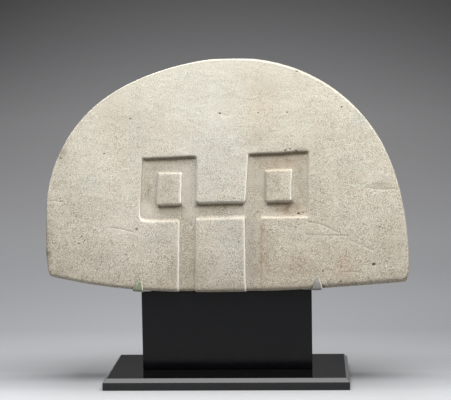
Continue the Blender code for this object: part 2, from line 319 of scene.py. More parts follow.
def wall_shapes(line, facing_in):
    """Width and bow of the wall at each point of a line.

    facing_in is 1 for the sunk field and -1 for a pupil, which stands up out of it."""
    facing, along = inward_of(line) * facing_in, line[:, 0] / FULL_WIDTH
    run, bow = np.full(len(line), 1.0 * MM), np.ones(len(line))
    looks_up, looks_down = facing[:, 1] > MOSTLY, facing[:, 1] < -MOSTLY
    looks_left, looks_right = facing[:, 0] < -MOSTLY, facing[:, 0] > MOSTLY
    run[looks_up], bow[looks_up] = (2.5 * MM, 1.3) if facing_in > 0 else (1.2 * MM, 1)
    run[looks_down] = (1.0 if facing_in > 0 else 3.0) * MM
    run[looks_left] = 0.4 * MM
    if facing_in > 0:
        nose_top = looks_up & (np.abs(along + 0.0152) < 0.075)
        left_sill = looks_up & (along < -0.12)
        brow = looks_down & (np.abs(along + 0.013) < 0.075)
        left_eye_side = looks_right & (along < -0.19)
        right_groove_side = looks_left & (along > 0.08) & (along < 0.15)
        run[nose_top], bow[nose_top] = 5.8 * MM, 2.3
        run[left_sill], bow[left_sill] = 4.2 * MM, 2.0
        run[brow] = 3.3 * MM
        run[left_eye_side] = 1.6 * MM
        run[right_groove_side] = 3.5 * MM
    return smooth_along(run), smooth_along(bow)


field_runs, field_bows = wall_shapes(field_line, 1)
pupil_shapes = [wall_shapes(line, -1) for line in pupil_lines]
print("wall runs:", round(field_runs.min() / MM, 2), "to", round(field_runs.max() / MM, 2), "mm")

# %% [markdown]
# Hand tools leave no sharp bend anywhere. A wall turns over softly at its lip and again at the
# floor, and the slab's rim is rounded, most of all along the keel, where it was set down and
# dragged. Both are written as a depth that depends only on the distance from a line.

# %% Shape of a wall and of the rim
FIELD_DEPTH = 5.0 * MM


def wall_share(distance, run, bow, softness=0.35 * MM):
    """How much of the depth is reached at a distance past a line, with both bends softened.

    A bow of 1 is a straight slope, and more than 1 is steep at the lip and easy at the floor."""
    def soft(past):
        return 0.5 * (past + np.sqrt(past * past + softness * softness))

    return 1 - (1 - (soft(distance) - soft(distance - run)) / run).clip(0) ** bow


def rim_round(points):
    """Size of the rounding round the slab's face, and its power: 2 is round, 1 is a flat bevel."""
    x, z = points[:, 0], points[:, 1]
    low = 1 - ease(over_keel(x, z), 2 * MM, 9 * MM)
    left, right = ease(-x, 0.100, 0.124), ease(x, 0.112, 0.128)
    ragged = waves(x, z, 5 * MM, 5 * MM, 21) + 0.7 * waves(x, z, 14 * MM, 14 * MM, 22)
    keel_round = (4.2 - 0.1 * left + (1.4 + 0.9 * ragged) * right) * MM
    left_end = 1.4 * ease(-x, 0.20, 0.24) * (1 - ease(z, 0.20, 0.25))
    side_round = (1.6 + 0.9 * ease(x, 0.10, 0.22) + left_end) * MM
    return side_round + (keel_round - side_round) * low, 2 - 0.85 * low


def rim_drop(distance, size, power):
    """How far the face falls back near the rim."""
    share = (1 - distance / size).clip(0, 1)
    return size * (1 - (1 - share ** power).clip(0) ** (1 / power))


rim_size, rim_power = rim_round(outline)
print("rim rounding:", round(rim_size.min() / MM, 1), "to", round(rim_size.max() / MM, 1), "mm")

# %% [markdown]
# Long use and burial left pits, scratches and worn spots. The larger ones are cut into the mesh,
# because they throw small shadows. Each is written down where the photograph shows it, with its
# width and depth in millimetres. Two of the pits, beside the right clip, are a painted shadow of
# the dark gap there.

# %% List the pits and scratches
# Pits: across and down in the picture, radius and depth in mm
PITS = (
    (130.0, 119.0, 1.3, 1.1), (104.0, 154.0, 1.3, 1.1), (219.7, 113.5, 1.5, 1.4),
    (258.0, 113.0, 1.1, 0.9), (287.0, 112.5, 1.1, 0.9), (341.5, 107.0, 1.3, 1.0),
    (373.7, 264.5, 2.4, 2.2), (136.5, 229.5, 1.8, 1.4), (126.0, 255.0, 1.2, 0.9),
    (151.0, 262.0, 1.1, 0.8), (81.5, 237.0, 1.1, 0.8), (84.5, 240.5, 1.0, 0.8),
    (79.0, 243.5, 1.1, 0.8), (297.0, 71.5, 1.6, 1.2), (285.0, 150.5, 1.6, 1.2),
    (290.0, 149.0, 1.4, 1.0), (296.0, 151.0, 1.8, 1.4), (298.5, 214.0, 2.0, 1.8),
    (341.0, 282.0, 1.7, 1.3), (60.8, 158.5, 1.6, 0.7), (303.0, 213.0, 1.3, 1.2),
    # (323.6, 287.2) and (322.2, 285.2) are a painted shadow: the dark gap beside the right clip
    (146.0, 274.5, 1.0, 0.7), (322.5, 271.5, 1.2, 0.7), (323.6, 287.2, 2.0, 2.0),
    (322.2, 285.2, 1.3, 1.4), (233.8, 198.8, 1.0, 1.0), (230.8, 200.0, 0.7, 0.6),
)
# Scratches: the places they pass through, width and depth in mm
SCRATCHES = (
    (((223.5, 115.3), (227.5, 115.7)), 0.9, 0.3),
    (((307.0, 221.5), (311.0, 223.0), (317.0, 223.3), (327.0, 227.0), (338.0, 233.0)), 1.7, 0.5),
    (((307.0, 235.2), (322.0, 235.6), (336.0, 235.4), (350.0, 236.2)), 1.8, 0.35),
    (((350.0, 240.5), (361.0, 245.0), (373.0, 250.5)), 2.1, 0.45),
    (((342.6, 229.0), (342.0, 235.0), (342.8, 241.0)), 0.8, 0.15),
    (((112.0, 228.0), (122.0, 229.5), (132.0, 232.0)), 1.3, 0.5),
    (((48.0, 201.6), (54.0, 200.9), (62.0, 202.6)), 1.0, 0.35),
    (((49.0, 205.4), (53.0, 206.6), (56.0, 206.2)), 0.9, 0.18),
    (((373.0, 184.6), (380.0, 183.4), (388.0, 185.0)), 1.3, 0.22),
    (((366.0, 187.4), (373.0, 188.9), (384.0, 189.4), (394.0, 189.0)), 1.4, 0.38),
    (((342.0, 272.6), (352.0, 272.0), (362.0, 272.8)), 1.4, 0.4),
    (((180.3, 205.5), (181.0, 220.0)), 1.2, 0.5),
)


def along_path(path, spacing=1.1 * MM):
    """Evenly spaced points along a scratch, on the face."""
    places = np.array([on_face(*spot) for spot in path])
    run = np.concatenate([[0], np.cumsum(np.linalg.norm(np.diff(places, axis=0), axis=1))])
    steps = np.linspace(0, run[-1], max(2, round(run[-1] / spacing)))
    return np.stack([np.interp(steps, run, places[:, axis]) for axis in (0, 1)], 1)


pit_spots = [(np.array(on_face(across, down)), size * MM, deep * MM)
             for across, down, size, deep in PITS]
scratch_paths = [(along_path(path), wide * MM, deep * MM) for path, wide, deep in SCRATCHES]
print("marks:", len(pit_spots), "pits,", len(scratch_paths), "scratches")

# %% [markdown]
# The stone isn't one colour either. Damp, dust, sun and hands left it cooler here, warmer there,
# and browner where dirt stayed; a few of the darker patches are painted shade in the bands under
# the ledges. Each patch is written as an oval with a strength, and the waves make its edge ragged,
# so that no oval shows.

# %% List the stains
# For each tint: across and down in the picture, half width and half height there, and strength
STAINS = {
    "cool": (
        (212, 158, 32, 46, 0.9), (205, 98, 38, 36, 0.55), (230, 245, 15, 42, 1.0),
        (135, 130, 7, 35, 0.6), (361, 118, 7, 8, 0.8), (158, 238, 16, 14, 0.6),
        (90, 184, 7, 7, 0.9), (352, 160, 10, 6, 0.5), (250, 250, 6, 35, 0.6),
        (112, 262, 14, 10, 0.5), (165, 95, 10, 25, 0.3),
    ),
    "warm": (
        (260, 104, 15, 28, 0.7), (345, 265, 8, 13, 1.0), (278, 163, 24, 8, 0.9),
        (291, 210, 13, 6, 1.0), (263, 250, 5, 34, 0.8), (116, 120, 12, 22, 0.5),
        (325, 115, 12, 22, 0.4), (290, 268, 22, 16, 0.5), (395, 150, 6, 22, 0.7),
    ),
    "grime": (
        # The left and right ends
        (62, 153, 5, 9, 0.46), (50, 232, 7, 36, 0.22), (47, 246, 4, 30, 0.42),
        (62, 273, 14, 8, 0.34), (47, 255, 5, 13, 0.60), (55, 262, 18, 30, 0.18),
        (62, 188, 18, 30, 0.12), (70, 205, 12, 14, 0.10), (85, 250, 22, 16, 0.12),
        (85, 218, 12, 12, 0.10), (90, 212, 24, 14, 0.17), (394, 270, 8, 10, 0.24),
        (380, 186, 12, 4, 0.32), (385, 250, 18, 45, 0.15),
        # The left eye, the nose and the grooves; (168, 209) and (218, 211) are painted shade under
        # the left pupil and the forehead
        (147, 188, 5, 20, 0.42), (168, 187, 12, 17, 0.30), (166, 173, 14, 3, 0.16),
        (168, 209, 14, 5, 0.36), (218, 211, 28, 6, 0.50), (188, 274, 20, 18, 0.36),
        (258, 272, 14, 14, 0.24), (267, 248, 9, 36, 0.27),
        # The right eye and cheek; (280, 160) and (287, 207) are painted shade under the right eye's
        # ledge and the right pupil
        (280, 160, 24, 5, 0.50), (276, 184, 12, 15, 0.26), (269, 186, 5, 22, 0.30),
        (301, 184, 8, 26, 0.42), (316, 192, 14, 22, 0.24), (318, 180, 7, 30, 0.20),
        (328, 178, 40, 22, 0.12), (341, 205, 3, 28, 0.14), (287, 207, 15, 7, 0.62),
        (296, 215, 34, 24, 0.14), (290, 268, 24, 16, 0.20), (318, 272, 18, 8, 0.18),
        (345, 245, 45, 32, 0.10),
        # The forehead
        (148, 130, 20, 18, 0.13), (118, 120, 26, 14, 0.10), (256, 142, 14, 10, 0.18),
        (268, 84, 42, 16, 0.14), (300, 122, 40, 26, 0.05), (300, 150, 8, 3, 0.35),
        (320, 150, 55, 22, 0.14),
    ),
    "pale": (
        (118, 222, 24, 22, 0.22), (222, 252, 14, 14, 0.10), (92, 176, 20, 16, 0.10),
        (186, 180, 5, 22, 0.30), (203, 122, 50, 60, 0.12), (232, 80, 60, 18, 0.10),
        (146, 222, 10, 14, 0.20), (147, 212, 9, 7, 0.42), (190, 213, 8, 7, 0.24),
        (240, 212, 9, 7, 0.26),
    ),
}


def stain(points, tint):
    """How strongly each point is stained with a tint, with ragged edges to every patch."""
    x, z = points[:, 0], points[:, 1]
    ragged = 1 + 0.35 * waves(x, z, 7 * MM, 7 * MM, 71) + 0.25 * waves(x, z, 3.5 * MM, 3 * MM, 72)
    total = np.zeros(len(points))
    for across, down, half_wide, half_high, strength in STAINS[tint]:
        centre_x, centre_z = on_face(across, down)
        away = ((x - centre_x) / (half_wide * PIXEL)) ** 2
        away += ((z - centre_z) / (half_high * PIXEL)) ** 2
        total = np.maximum(total, strength * np.exp(-0.7 * away))
    return (total * ragged).clip(0, 1)


print("stains:", {tint: len(patches) for tint, patches in STAINS.items()})

# %% [markdown]
# The face is a sheet of small triangles, and its height at each point is worked out from the
# distances above. A plain grid would need to be very fine everywhere to show a crisp ledge, so the
# points are set out instead: rows along the rim and along each carved line, close clusters
# round each mark, and a loose net between them. A Delaunay triangulation joins them.

# %% Set out the points of the face
NET_SPACING = 1.75 * MM
RIM_ROWS = (0.04, 0.16, 0.38, 0.70, 1.05, 1.55)
WALL_ROWS = (-0.75, -0.30, -0.05, 0.15, 0.40, 0.65, 0.88, 1.05, 1.35)

rim_rows = [outline + inward_of(outline) * (rim_size * share)[:, None] for share in RIM_ROWS]


def wall_rows(line, runs, facing_in):
    """Rows of points along a wall, thinned where a corner crowds them."""
    rows = []
    for share in WALL_ROWS:
        row = line + inward_of(line) * (runs * share * facing_in)[:, None]
        away = np.abs(measure_from(row, line)[0])
        rows.append(row[np.abs(away - np.abs(runs * share)) < 0.12 * MM])
    return np.concatenate(rows)


carved_rows = np.concatenate(
    [wall_rows(field_line, field_runs, 1)]
    + [wall_rows(line, runs, -1) for line, (runs, bows) in zip(pupil_lines, pupil_shapes)]
)
print("rows:", sum(map(len, rim_rows)), "at the rim,", len(carved_rows), "at the carving")

# %% Add the net and the clusters
def loose_net(spacing, row_height):
    """A net of points over the whole slab, with every other row moved by half a step."""
    net_x, net_z = np.meshgrid(np.arange(slab_low.x, slab_high.x, spacing),
                               np.arange(slab_low.z, slab_high.z, row_height))
    net_x[1::2] += spacing / 2
    return np.stack([net_x.ravel(), net_z.ravel()], 1)


rng = np.random.RandomState(5)
net = loose_net(NET_SPACING, NET_SPACING * math.sqrt(3) / 2)
net += rng.uniform(-0.22, 0.22, net.shape) * NET_SPACING

# Rings of points round each pit: their size as a share of the pit's, and how many points
PIT_RINGS = ((0, 1), (0.35, 6), (0.7, 10), (1.0, 14), (1.4, 16))
clusters = []
for spot, size, deep in pit_spots:
    for ring, count in PIT_RINGS:
        angle = np.linspace(0, 2 * math.pi, count, endpoint=False) + ring
        clusters.append(spot + np.stack([np.cos(angle), np.sin(angle)], 1) * ring * size)
for path, wide, deep in scratch_paths:
    along = np.gradient(path, axis=0)
    across = np.stack([-along[:, 1], along[:, 0]], 1) / np.linalg.norm(along, axis=1)[:, None]
    for share in (-1.0, -0.5, 0, 0.5, 1.0):
        clusters.append(path + across * wide * share)
clusters = np.concatenate(clusters)
print("net:", len(net), "points, clusters:", len(clusters), "points")

# %% Thin out the points and join them
SAME_POINT = 0.00001 * MM
INSIDE_ONLY = 1  # asks for triangles, and only inside the rim


def far_from(points, others, distance):
    """Which points have no other within a distance, found with a grid of small cells."""
    cell, taken = distance * 0.7, set()
    for dx in (-1, 0, 1):
        for dz in (-1, 0, 1):
            cells = np.floor((others + np.array((dx, dz)) * cell) / cell).astype(int)
            taken.update(map(tuple, cells))
    return np.array([tuple(spot) not in taken for spot in np.floor(points / cell).astype(int)])


def join_up(rim, others):
    """Points, triangles and what each point was made from, for a flat sheet inside a rim."""
    corners = [Vector(spot) for spot in np.concatenate([rim, others])]
    rim_face = list(range(len(rim)))
    sheet = delaunay_2d_cdt(corners, [], [rim_face], INSIDE_ONLY, SAME_POINT, True)
    return np.array([(v.x, v.y) for v in sheet[0]]), [tuple(f) for f in sheet[2]], sheet[3]


# Each set of points keeps this far from the ones before it
laid = np.concatenate([outline, *rim_rows])
for more, gap in ((carved_rows, 0.8 * MM), (clusters, 0.6 * MM), (net, 1.1 * MM)):
    laid = np.concatenate([laid, more[far_from(more, laid, gap)]])
loose = laid[len(outline):]
loose = loose[measure_from(loose, outline)[0] > 0.03 * MM]
face_points, face_triangles, face_sources = join_up(outline, loose)
front_of = {source: index for index, sources in enumerate(face_sources) for source in sources}
print("face:", len(face_points), "points,", len(face_triangles), "triangles")

# %% [markdown]
# The height of the face: the sunk field and its walls, the rounded rim, the marks, and under all
# that the slight unevenness of a surface rubbed flat with another stone. The same step keeps a
# mask of where dirt gathers and where painted shade darkens the corners under the ledges, so that
# the colour of a pit and its shape always agree.

# %% Find the worn lips and their painted highlight
def lip_wear_and_highlight(past, line, nearest, facing_in):
    """1 on a lip that hands and sand reached, with a painted highlight, most of all on one that looks
    right towards the light; 0 away.
    """
    facing, spot = (inward_of(line) * facing_in)[nearest], line[nearest]
    up, along = (spot[:, 1] - slab_low.z) / FULL_HEIGHT, spot[:, 0] / FULL_WIDTH
    left_eye_side = np.where(along < -0.19, 0.3 + 0.45 * (1 - ease(up, 0.34, 0.44)), 1)
    off_the_groove = np.where(np.abs(along - 0.115) < 0.035, 0, 0.35)
    reached = np.maximum.reduce([
        left_eye_side * ease(facing[:, 0], 0.3, 0.8),
        (0.12 if facing_in > 0 else 0) * ease(facing[:, 1], 0.3, 0.8),
        off_the_groove * ease(-facing[:, 0], 0.3, 0.8),
    ])
    return reached * np.exp(-((past / MM - 0.1) / 0.7) ** 2)


def ledge_shade(past, runs, line, nearest, facing_in):
    """1 in the corner under a ledge, where painted shade darkens the stone."""
    under = ease(-(inward_of(line) * facing_in)[nearest][:, 1], 0.92, 0.995)
    past_corner = (past - runs[nearest]) / MM - 1.5
    on_wall = np.exp(-(past_corner / 1.8) ** 2)
    on_floor = np.exp(-(past_corner.clip(0) / 5.0) ** 1.6)
    return under * ease(past / MM, -0.2, 1.6) * np.where(past_corner < 0, on_wall, on_floor)


print("lips that look up or right:", int((inward_of(field_line).max(1) > MOSTLY).sum()), "points")

# %% Cut the pits and scratches
def cut_marks(points):
    """How deep the marks go at each point, and how much dirt they hold; two by the right clip hold
    painted shadow.
    """
    x, z = points[:, 0], points[:, 1]
    marks, grime = np.zeros(len(points)), np.zeros(len(points))
    for spot, size, deep in pit_spots:
        away = np.hypot(x - spot[0], (z - spot[1]) * 1.2) / size
        marks = np.maximum(marks, np.exp(-(away * 1.15) ** 4) * deep)
        grime = np.maximum(grime, np.exp(-(away * 0.95) ** 4))
    for path, wide, deep in scratch_paths:
        near = (np.abs(points - path.mean(0)) < 0.05).all(1)
        gap = np.sqrt(((points[near][:, None] - path[None]) ** 2).sum(2)).min(1) / wide
        cut = np.zeros(len(points))
        cut[near] = np.exp(-(gap * 1.5) ** 2)
        marks = np.maximum(marks, cut * deep)
        grime = np.maximum(grime, cut * 0.12)
    return marks, grime


mark_depth, mark_dirt_and_shade = cut_marks(face_points)
print("deepest mark:", round(mark_depth.max() / MM, 1), "mm")

# %% Work out the height of the face
CARVED_HALF = 0.135  # the carving lies within this far of the slab's middle, in metres


def face_depth(points):
    """Each point's depth behind the front plane, its dirt and painted shade, and its worn lips'
    painted highlight.
    """
    x, z = points[:, 0], points[:, 1]
    to_rim, nearest = measure_from(points, outline)
    around = np.abs(x) < CARVED_HALF
    inner = points[around]
    past, at = measure_from(inner, field_line)
    share = wall_share(past, field_runs[at], field_bows[at])
    worn = lip_wear_and_highlight(past, field_line, at, 1)
    under_ledge = ledge_shade(past, field_runs, field_line, at, 1)
    for line, (runs, bows) in zip(pupil_lines, pupil_shapes):
        past_pupil, at_pupil = measure_from(inner, line)
        share = np.minimum(share, wall_share(-past_pupil, runs[at_pupil], bows[at_pupil]))
        worn = np.maximum(worn, lip_wear_and_highlight(-past_pupil, line, at_pupil, -1))
        under_ledge = np.maximum(under_ledge, ledge_shade(-past_pupil, runs, line, at_pupil, -1))
    sunk, lip = np.zeros(len(points)), np.zeros(len(points))
    sunk[around], lip[around] = share, worn

    # The right cheek groove comes up towards its right side
    up, along = (z - slab_low.z) / FULL_HEIGHT, x / FULL_WIDTH
    groove_side = ease(along, 0.054, 0.100) * (1 - ease(up, 0.29, 0.37))
    floor = FIELD_DEPTH * (1 + 0.06 * waves(x, z, 16 * MM, 16 * MM, 31))
    floor = floor * (1 - 0.68 * groove_side)
    uneven = 0.16 * waves(x, z, 24 * MM, 13 * MM, 41) + 0.10 * waves(x, z, 9 * MM, 3.6 * MM, 42)
    rough = 0.04 * waves(x, z, 3.4 * MM, 2.6 * MM, 43) * (1.3 - ease(z, 0.20, 0.38))
    rubbed_flat = (0.2 + uneven + rough).clip(0) * MM * ease(to_rim, 0, 4 * MM)
    depth = sunk * floor + mark_depth + rubbed_flat
    depth = depth + rim_drop(to_rim, rim_size[nearest], rim_power[nearest])

    # Dirt darkens the field; painted light lifts it by walls that look left; painted shade fills the
    # corners under ledges
    field_dirt_and_shade = 0.30 * sunk * (1 - 0.6 * groove_side)
    looks_left = ease(-inward_of(field_line)[at][:, 0], 0.6, 0.95)
    field_dirt_and_shade[around] *= 1 - 0.8 * looks_left * np.exp(-(past / (3.5 * MM)) ** 2)
    field_dirt_and_shade[around] += (1 - field_dirt_and_shade[around]) * 0.93 * under_ledge
    # and the stone is darker along the keel
    above_keel = over_keel(x, z) / MM
    near_keel = (0.12 + 0.14 * ease(x, -0.10, -0.02)) * np.exp(-(above_keel / 9) ** 2)
    low_band = 0.15 * np.exp(-(above_keel / 22) ** 2) + near_keel
    return depth, np.maximum.reduce([mark_dirt_and_shade, field_dirt_and_shade, low_band, stain(points, "grime")]), lip


face_back, face_dirt_and_shade, face_wear_and_highlight = face_depth(face_points)
print("deepest place:", round(face_back.max() / MM, 1), "mm")

# %% [markdown]
# The sides and the back. The sides are rows of points that run straight back from the rim with
# the long, shallow dents of the chisel, and the back is left plain and coarser, as nobody sees it.

# %% Run the sides back
SIDE_ROWS = 16
SIDE_GRIME, BACK_GRIME = 0.40, 0.15
BACK_ROUND = 3.0 * MM
BACK_Y = slab_high.y

points = [(x, FACE_Y + back, z) for (x, z), back in zip(face_points, face_back)]
grime = list(face_dirt_and_shade)
faces = list(face_triangles)
ring = [front_of[i] for i in range(len(outline))]
start_y = np.array([points[i][1] for i in ring])
end_y = BACK_Y - BACK_ROUND
inward = inward_of(outline)
length = np.arange(len(outline)) * OUTLINE_SPACING
for row in range(1, SIDE_ROWS + 1):
    share = row / SIDE_ROWS
    y = start_y + (end_y - start_y) * share
    dent = 0.5 + 0.5 * waves(length, y, 17 * MM, 24 * MM, 51)
    dent = dent + 0.2 * waves(length, y, 5 * MM, 6 * MM, 52)
    dent = dent.clip(0) * 0.5 * MM * math.sin(math.pi * share) ** 0.5
    first = len(points)
    shell = outline + inward * dent[:, None]
    points += [(x, y_at, z) for (x, z), y_at in zip(shell, y)]
    grime += [SIDE_GRIME] * len(outline)
    new_ring = list(range(first, first + len(outline)))
    for at in range(len(outline)):
        after = (at + 1) % len(outline)
        faces.append((ring[at], new_ring[at], new_ring[after], ring[after]))
    ring = new_ring
print("with its sides:", len(points), "points")

# %% Close the back
# In metres: the coarser net of the back, and how far it stays inside the outline
BACK_SPACING, BACK_ROW_HEIGHT, BACK_MARGIN = 0.0065, 0.0056, 0.0085

back_rows = [outline + inward * (BACK_ROUND * share) for share in (0.12, 0.45, 1.0, 2.0)]
coarse = loose_net(BACK_SPACING, BACK_ROW_HEIGHT)
coarse = coarse[measure_from(coarse, outline)[0] > BACK_MARGIN]
back_points, back_triangles, back_sources = join_up(outline, np.concatenate(back_rows + [coarse]))
back_of = {index: sources[0] for index, sources in enumerate(back_sources)
           if sources and sources[0] < len(outline)}
to_rim = measure_from(back_points, outline)[0]
uneven = 0.3 + 0.3 * waves(back_points[:, 0], back_points[:, 1], 0.021, 0.017, 61)
back_fall = rim_drop(to_rim, BACK_ROUND, 2) + uneven * MM * ease(to_rim, 0, 8 * MM)
number = []
for index, ((x, z), fall) in enumerate(zip(back_points, back_fall)):
    if index in back_of:
        number.append(ring[back_of[index]])
    else:
        number.append(len(points))
        points.append((x, BACK_Y - fall, z))
        grime.append(BACK_GRIME)
faces += [tuple(number[i] for i in reversed(f)) for f in back_triangles]
print("slab:", len(points), "points,", len(faces), "faces")

# %% Make the slab's mesh
stone_mesh = bpy.data.meshes.new("stone_slab")
stone_mesh.from_pydata(points, [], faces)
stone_mesh.validate()
stone_mesh.shade_smooth()
plain = [0.0] * (len(points) - len(face_points))
masks = {"grime": grime, "worn": [*face_wear_and_highlight, *plain]}
for tint in ("cool", "warm", "pale"):
    masks[tint] = [*stain(face_points, tint), *plain]
for name, values in masks.items():
    mask = stone_mesh.attributes.new(name, "FLOAT", "POINT")
    mask.data.foreach_set("value", np.array(values, np.float32))
stone_slab = bpy.data.objects.new("stone_slab", stone_mesh)
bpy.context.collection.objects.link(stone_slab)
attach(stone_slab, "root")
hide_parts("effigy_slab")
print("triangles:", sum(len(p.vertices) - 2 for p in stone_mesh.polygons))

# %% [markdown]
# Colours are written as the hex values that a colour picker shows, and the renderer works with
# linear light, so one function turns one into the other. A second small function adds any node
# with its settings and its links, which keeps each material readable from top to bottom.

# %% Turn colours to light, and add nodes
def linear(hex_colour):
    """Red, green, blue and alpha of linear light, from an sRGB hex value."""
    shares = [int(hex_colour[i:i + 2], 16) / 255 for i in (1, 3, 5)]
    return (*(s / 12.92 if s <= 0.04045 else ((s + 0.055) / 1.055) ** 2.4 for s in shares), 1)


def add_node(tree, kind, settings, links):
    """Adds a node. links gives each input, by name or number, a value or another node's output."""
    node = tree.nodes.new(kind)
    for name, value in settings.items():
        if name == "stops":
            ends = node.color_ramp.elements
            ends[0].position, ends[1].position = value[0][0], value[-1][0]
            for place, colour in value[1:-1]:
                ends.new(place)
            for stop, (place, colour) in zip(ends, value):
                stop.color = linear(colour)
        else:
            setattr(node, name, value)
    for name, value in links.items():
        if isinstance(value, bpy.types.NodeSocket):
            tree.links.new(value, node.inputs[name])
        else:
            node.inputs[name].default_value = value
    return node


def new_material(name):
    """A material with its node tree and its shader."""
    material = bpy.data.materials.new(name)
    material.use_nodes = True
    tree = material.node_tree
    return material, tree, tree.nodes["Principled BSDF"]


print("linear mid grey:", round(linear("#808080")[0], 3))

# %% [markdown]
# The slab is limestone, rubbed flat with sand and water and then weathered. It is matt, full of
# fine pores about a millimetre across, and streaked sideways where it was rubbed. Its colour
# changes slowly: pale cream at the crown, browner towards the cheeks, with greyer bands that run
# down through the forehead. Dirt sits in the pits, the stone is darker along the lower rim, painted
# shade darkens the corners under the ledges, and a painted highlight lightens the lips that look
# towards the light. Each of these is one layer over the colour below it, so they can be judged one
# at a time.

# %% Mix the rubbed limestone
limestone, tree, shader = new_material("rubbed_limestone")
place = add_node(tree, "ShaderNodeTexCoord", {}, {}).outputs["Object"]
height = add_node(tree, "ShaderNodeSeparateXYZ", {}, {0: place}).outputs["Z"]
up_the_slab = add_node(tree, "ShaderNodeMapRange", {}, {
    "Value": height, "From Min": slab_low.z, "From Max": slab_high.z}).outputs[0]
masks = {name: add_node(tree, "ShaderNodeAttribute", {"attribute_name": name}, {}).outputs["Fac"]
         for name in ("grime", "worn", "cool", "warm", "pale")}

# A scale counts the steps of a pattern in a metre, so 1000 / scale is the size of one in mm.
# Cloudy patches are 30 mm across, and small ones of 11 mm lean to green or to pink
clouds = add_node(tree, "ShaderNodeTexNoise", {}, {
    "Vector": place, "Scale": 33.0, "Detail": 2.0, "Roughness": 0.55}).outputs["Fac"]
patches = add_node(tree, "ShaderNodeTexNoise", {}, {
    "Vector": place, "Scale": 90.0, "Detail": 2.0, "Roughness": 0.5}).outputs["Fac"]
# Pores of about a millimetre, drawn out sideways by the rubbing, and holes about 9 mm apart
stretch = add_node(tree, "ShaderNodeMapping", {}, {
    "Vector": place, "Scale": (980, 930, 1310)}).outputs[0]
pores = add_node(tree, "ShaderNodeTexNoise", {}, {
    "Vector": stretch, "Scale": 1.0, "Detail": 1.0, "Roughness": 0.6}).outputs["Fac"]
holes = add_node(tree, "ShaderNodeTexVoronoi", {}, {
    "Vector": place, "Scale": 110.0}).outputs["Distance"]
# Both are more open low on the slab, where damp rose from the ground,
openness = add_node(tree, "ShaderNodeMapRange", {}, {
    "Value": up_the_slab, "From Min": 0.3, "From Max": 1.0,
    "To Min": 1.0, "To Max": 0.45}).outputs[0]
# and they come in drifts about 16 mm across, with smoother skin between them
drifts = add_node(tree, "ShaderNodeTexNoise", {}, {
    "Vector": place, "Scale": 62.0, "Detail": 2.0, "Roughness": 0.6}).outputs["Fac"]
drift = add_node(tree, "ShaderNodeMapRange", {}, {
    "Value": drifts, "From Min": 0.36, "From Max": 0.66,
    "To Min": 0.65, "To Max": 1.25}).outputs[0]
openness = add_node(tree, "ShaderNodeMath", {"operation": "MULTIPLY"}, {
    0: openness, 1: drift}).outputs[0]
grains = add_node(tree, "ShaderNodeMath", {"operation": "MULTIPLY"}, {
    0: openness, 1: 0.40}).outputs[0]
print("patterns of the stone:", len(tree.nodes), "nodes")

# %% Lay the tints on the limestone
# From the keel up to the crown
STONE_TONES = ((0.0, "#B8B0A1"), (0.45, "#C7C1B3"), (1.0, "#CAC6B8"))
colour = add_node(tree, "ShaderNodeValToRGB", {"stops": STONE_TONES}, {
    "Fac": up_the_slab}).outputs[0]
# Each layer: a pattern or mask, its values for none and for all of the tint, the most that it may
# cover, the tint, and how it is laid on
LAYERS = (
    (clouds, 0.35, 0.65, 0.28, "#E8E3DB", "MULTIPLY"),
    (patches, 0.50, 0.72, 0.6, "#F8FBF4", "MULTIPLY"),
    (patches, 0.50, 0.28, 0.6, "#FDF6F1", "MULTIPLY"),
    (pores, 0.52, 0.36, openness, "#B3ACA0", "MULTIPLY"),
    (pores, 0.52, 0.66, grains, "#EEEAE0", "MIX"),
    (holes, 0.13, 0.06, openness, "#B0A592", "MULTIPLY"),
    (masks["cool"], 0.0, 1.0, 1.0, "#F2F6FA", "MULTIPLY"),
    (masks["warm"], 0.0, 1.0, 1.0, "#F8F0E9", "MULTIPLY"),
    (masks["pale"], 0.0, 1.0, 1.0, "#E6E0D6", "MIX"),
    # dirt, and painted shade in the bands under the ledges and beside the right clip
    (masks["grime"], 0.0, 1.0, 1.0, "#978C7A", "MULTIPLY"),
    # wear, and a painted highlight on the lips that look right, towards the light
    (masks["worn"], 0.0, 1.0, 1.0, "#F4F1E8", "MIX"),
)
for pattern, none, all_of_it, most, tint, laid in LAYERS:
    cover = add_node(tree, "ShaderNodeMapRange", {}, {
        "Value": pattern, "From Min": none, "From Max": all_of_it, "To Max": most})
    colour = add_node(tree, "ShaderNodeMix", {"data_type": "RGBA", "blend_type": laid}, {
        0: cover.outputs[0], 6: colour, 7: linear(tint)}).outputs[2]
tree.links.new(colour, shader.inputs["Base Color"])
shader.inputs["Roughness"].default_value = 0.85
shader.inputs["IOR"].default_value = 1.5
shader.inputs["Specular IOR Level"].default_value = 0.3
bump = add_node(tree, "ShaderNodeBump", {}, {
    "Height": pores, "Strength": 0.40, "Distance": 0.8 * MM})
tree.links.new(bump.outputs[0], shader.inputs["Normal"])
stone_mesh.materials.append(limestone)
print("limestone nodes:", len(tree.nodes))

# %% [markdown]
# The mount's block and plate are black cast acrylic. The plate is polished until it mirrors the
# block, and the block is rubbed a little duller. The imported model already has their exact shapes,
# so they keep them and only take a finish: a deep black with a clear gloss, softened in drifts
# where dust has settled.

